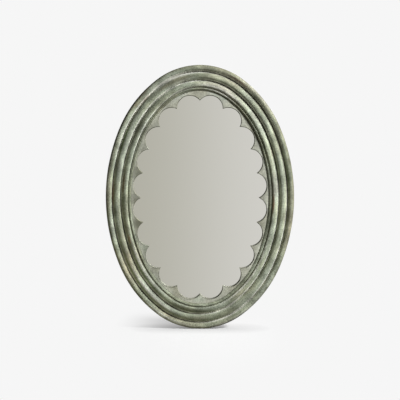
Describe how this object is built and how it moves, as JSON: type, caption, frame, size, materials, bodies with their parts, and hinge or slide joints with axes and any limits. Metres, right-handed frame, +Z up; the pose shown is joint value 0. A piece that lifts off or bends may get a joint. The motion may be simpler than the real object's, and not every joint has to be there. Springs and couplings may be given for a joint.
{
  "type": "framed mirror",
  "caption": "Oval wall mirror with a reeded, green-patinated wooden frame, a scalloped wooden slip over the glass, turn buttons behind and swinging D-ring hangers.",
  "frame": {"origin": "on the wall plane that the bumpers touch, behind the centre of the oval", "axes": "+X to the right and +Z up as seen from the front, +Y into the wall; the glass faces -Y"},
  "size_m": [0.642, 0.0328, 0.9],
  "materials": {
    "patinated_wood": "distressed green wax patina over carved hardwood",
    "patinated_slip": "pale grey-green patina over thin hardwood",
    "dowel_wood": "plain beech",
    "mirror_glass": "silvered float glass with ground edges",
    "hardboard": "brown hardboard",
    "button_brass": "tumbled brass",
    "screw_steel": "zinc-plated steel",
    "hanger_steel": "nickel-plated steel",
    "bumper_rubber": "matt black rubber"
  },
  "bodies": {
    "frame": {"frame_top": "patinated_wood", "frame_upper_right": "patinated_wood", "frame_right": "patinated_wood", "frame_lower_right": "patinated_wood", "frame_bottom": "patinated_wood", "frame_lower_left": "patinated_wood", "frame_left": "patinated_wood", "frame_upper_left": "patinated_wood", "scalloped_slip": "patinated_slip", "segment_dowels": "dowel_wood", "mirror_glass": "mirror_glass", "backing_board": "hardboard", "turn_button_screws": "screw_steel", "hanger_screws": "screw_steel", "hanger_strap_left": "hanger_steel", "hanger_strap_right": "hanger_steel", "wall_bumpers": "bumper_rubber"},
    "button_top": {"turn_button_top": "button_brass"},
    "button_upper_right": {"turn_button_upper_right": "button_brass"},
    "button_right": {"turn_button_right": "button_brass"},
    "button_lower_right": {"turn_button_lower_right": "button_brass"},
    "button_bottom": {"turn_button_bottom": "button_brass"},
    "button_lower_left": {"turn_button_lower_left": "button_brass"},
    "button_left": {"turn_button_left": "button_brass"},
    "button_upper_left": {"turn_button_upper_left": "button_brass"},
    "ring_left": {"d_ring_left": "hanger_steel"},
    "ring_right": {"d_ring_right": "hanger_steel"}
  },
  "joints": [
    {"name": "button_top_turn", "type": "hinge", "parent": "frame", "child": "button_top", "pos_m": [0, -0.00686, 0.38], "axis": [0, 1, 0], "continuous": true},
    {"name": "button_upper_right_turn", "type": "hinge", "parent": "frame", "child": "button_upper_right", "pos_m": [0.16432, -0.00686, 0.28513], "axis": [0, 1, 0], "continuous": true},
    {"name": "button_right_turn", "type": "hinge", "parent": "frame", "child": "button_right", "pos_m": [0.251, -0.00686, 0], "axis": [0, 1, 0], "continuous": true},
    {"name": "button_lower_right_turn", "type": "hinge", "parent": "frame", "child": "button_lower_right", "pos_m": [0.16432, -0.00686, -0.28513], "axis": [0, 1, 0], "continuous": true},
    {"name": "button_bottom_turn", "type": "hinge", "parent": "frame", "child": "button_bottom", "pos_m": [0, -0.00686, -0.38], "axis": [0, 1, 0], "continuous": true},
    {"name": "button_lower_left_turn", "type": "hinge", "parent": "frame", "child": "button_lower_left", "pos_m": [-0.16432, -0.00686, -0.28513], "axis": [0, 1, 0], "continuous": true},
    {"name": "button_left_turn", "type": "hinge", "parent": "frame", "child": "button_left", "pos_m": [-0.251, -0.00686, 0], "axis": [0, 1, 0], "continuous": true},
    {"name": "button_upper_left_turn", "type": "hinge", "parent": "frame", "child": "button_upper_left", "pos_m": [-0.16432, -0.00686, 0.28513], "axis": [0, 1, 0], "continuous": true},
    {"name": "ring_left_swing", "type": "hinge", "parent": "frame", "child": "ring_left", "pos_m": [-0.2587, -0.00378, 0.1569], "axis": [1, 0, 0], "range_deg": [0, 175]},
    {"name": "ring_right_swing", "type": "hinge", "parent": "frame", "child": "ring_right", "pos_m": [0.2587, -0.00378, 0.1569], "axis": [1, 0, 0], "range_deg": [0, 175]}
  ]
}
